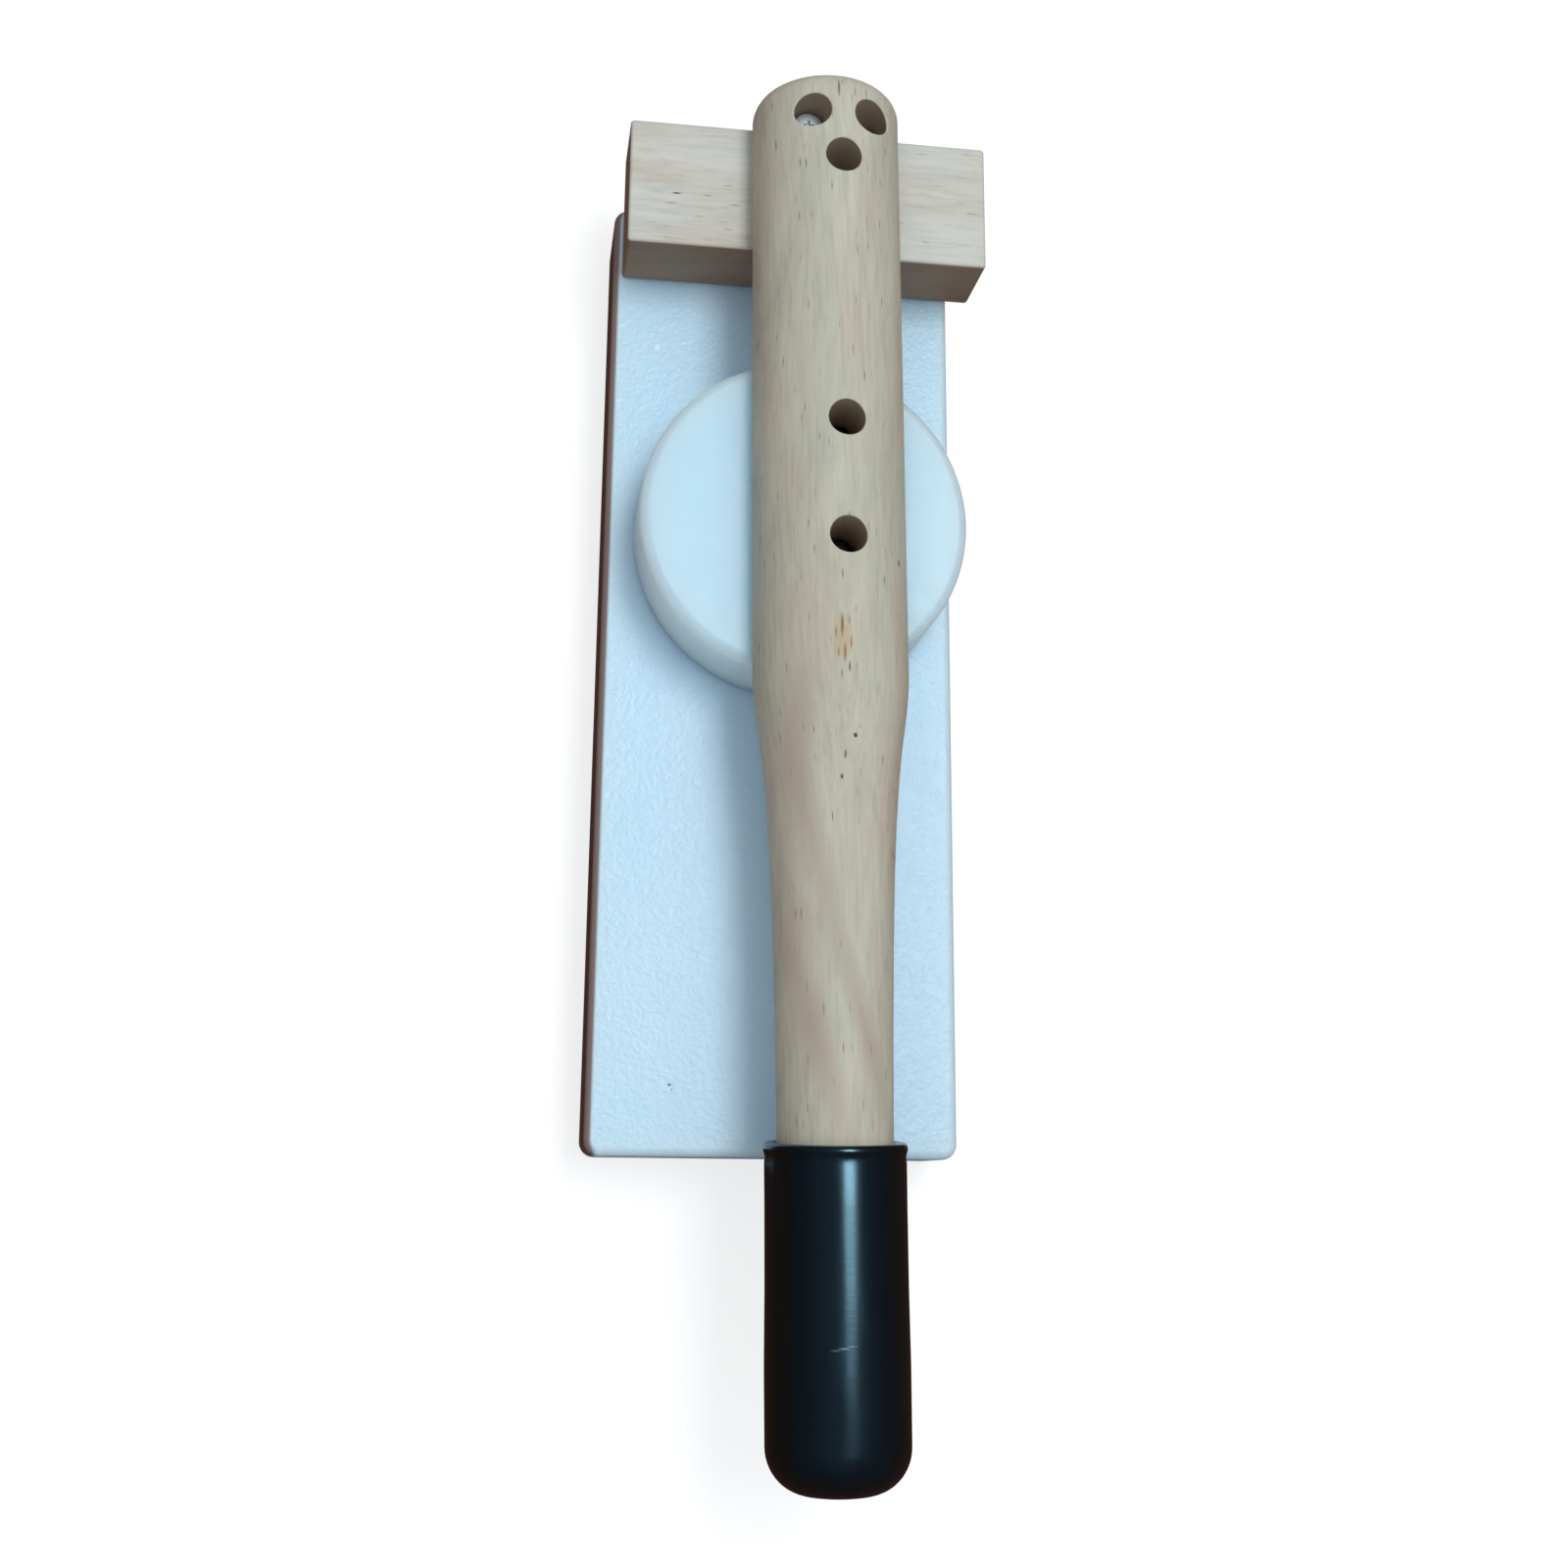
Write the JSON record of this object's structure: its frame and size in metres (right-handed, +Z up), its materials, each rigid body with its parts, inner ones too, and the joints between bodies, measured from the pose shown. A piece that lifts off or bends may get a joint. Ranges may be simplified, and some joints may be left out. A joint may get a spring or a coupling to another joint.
{
  "type": "dumpling wrapper press",
  "caption": "Hand press for dumpling wrappers: a thick board, a round pressing disc under a hinged wooden lever with a soft grip, and a wooden hinge block at the rear.",
  "frame": {"origin": "centre of the board's underside", "axes": "+X to the right, +Y from the grip towards the hinge, +Z up"},
  "size_m": [0.1168, 0.41, 0.0859],
  "materials": {
    "board_plastic": "fine pebbled",
    "disc_plastic": "smooth",
    "handle_wood": "sanded, bare",
    "block_wood": "sanded, bare",
    "grip_vinyl": "soft, slightly glossy",
    "zinc_steel": "bright zinc",
    "black_steel": "black phosphated",
    "leaf_steel": "rolled"
  },
  "bodies": {
    "base": {"base_board": "board_plastic", "hinge_block": "block_wood", "block_screws": "zinc_steel", "lower_hinge_leaf": "leaf_steel", "lower_leaf_screws": "zinc_steel", "hinge_pin": "zinc_steel"},
    "lever": {"upper_hinge_leaf": "leaf_steel", "handle": "handle_wood", "press_disc": "disc_plastic", "handle_grip": "grip_vinyl", "hinge_bolts": "zinc_steel", "bolt_head_washers": "zinc_steel", "nut_washers": "zinc_steel", "hinge_nuts": "zinc_steel", "disc_screws": "black_steel", "disc_screw_washers": "black_steel"}
  },
  "joints": [
    {"name": "lever_hinge", "type": "hinge", "parent": "base", "child": "lever", "pos_m": [0.0104, 0.1701, 0.0553], "axis": [-1, 0, 0], "range_deg": [0, 135]}
  ]
}
